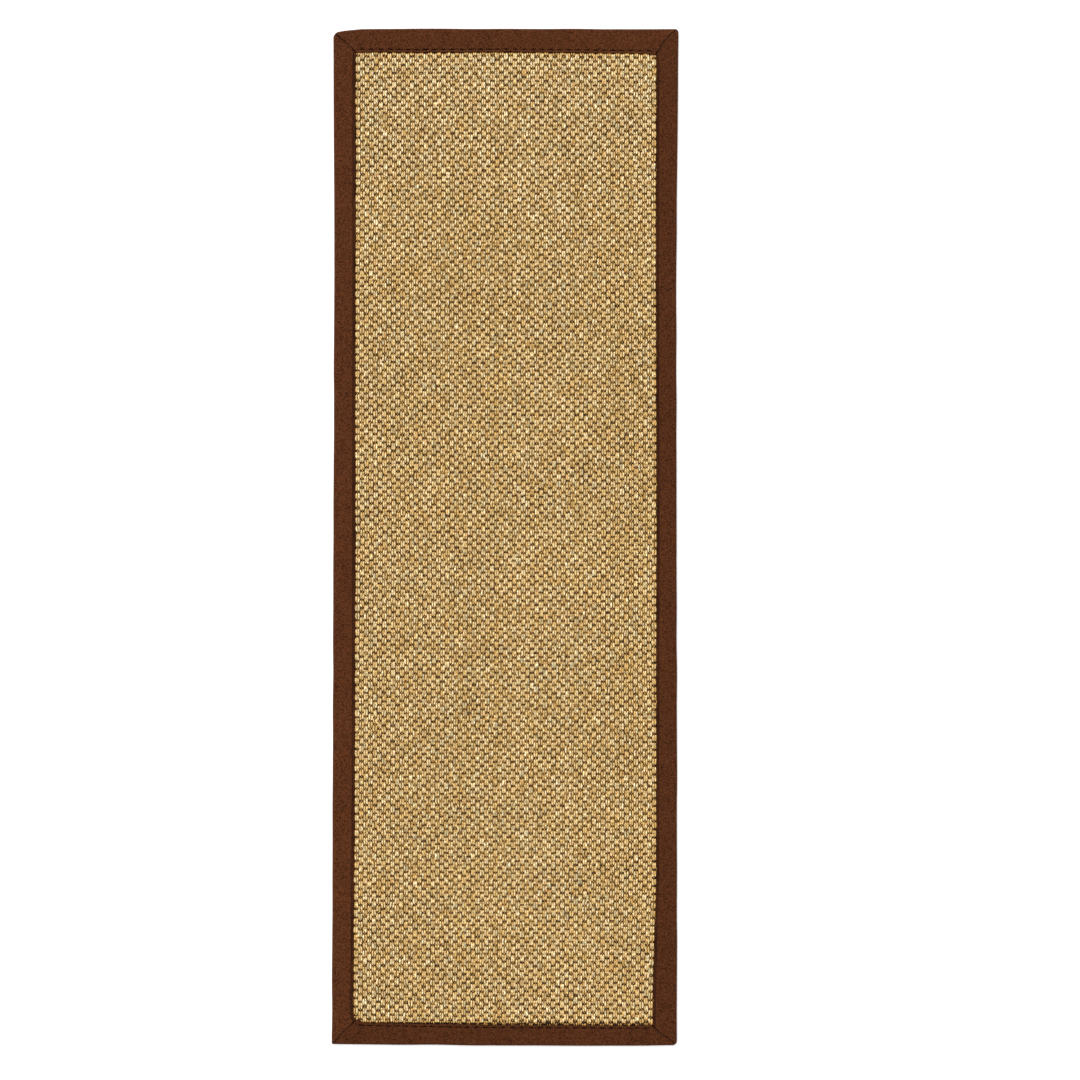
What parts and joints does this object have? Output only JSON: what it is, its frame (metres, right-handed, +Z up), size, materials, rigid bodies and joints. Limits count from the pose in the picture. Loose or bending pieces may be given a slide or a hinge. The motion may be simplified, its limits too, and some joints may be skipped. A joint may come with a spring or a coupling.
{
  "type": "runner rug",
  "caption": "Long narrow floor rug of basket-woven seagrass on a latex backing, bound all round with folded, mitred and sewn cotton tape.",
  "frame": {"origin": "centre of the underside, on the floor", "axes": "+X to the rug's right side, +Y along its length to the head end, +Z up out of the walking face"},
  "size_m": [0.61, 1.8, 0.0105],
  "materials": {
    "seagrass": "hand-spun seagrass yarn, straw and tan with darker twist lines, slightly waxy",
    "latex": "matt natural latex coating with a fine dimpled skin",
    "cotton_tape": "dark chocolate cotton twill tape, matt",
    "thread": "twisted dark brown sewing thread, slight sheen"
  },
  "bodies": {
    "root": {"seagrass_weave": "seagrass", "latex_backing": "latex", "border_left": "cotton_tape", "border_right": "cotton_tape", "border_head": "cotton_tape", "border_foot": "cotton_tape", "needle_thread_left": "thread", "needle_thread_right": "thread", "needle_thread_head": "thread", "needle_thread_foot": "thread", "bobbin_thread_left": "thread", "bobbin_thread_right": "thread", "bobbin_thread_head": "thread", "bobbin_thread_foot": "thread", "mitre_thread_head_left": "thread", "mitre_thread_head_right": "thread", "mitre_thread_foot_left": "thread", "mitre_thread_foot_right": "thread"}
  },
  "joints": []
}
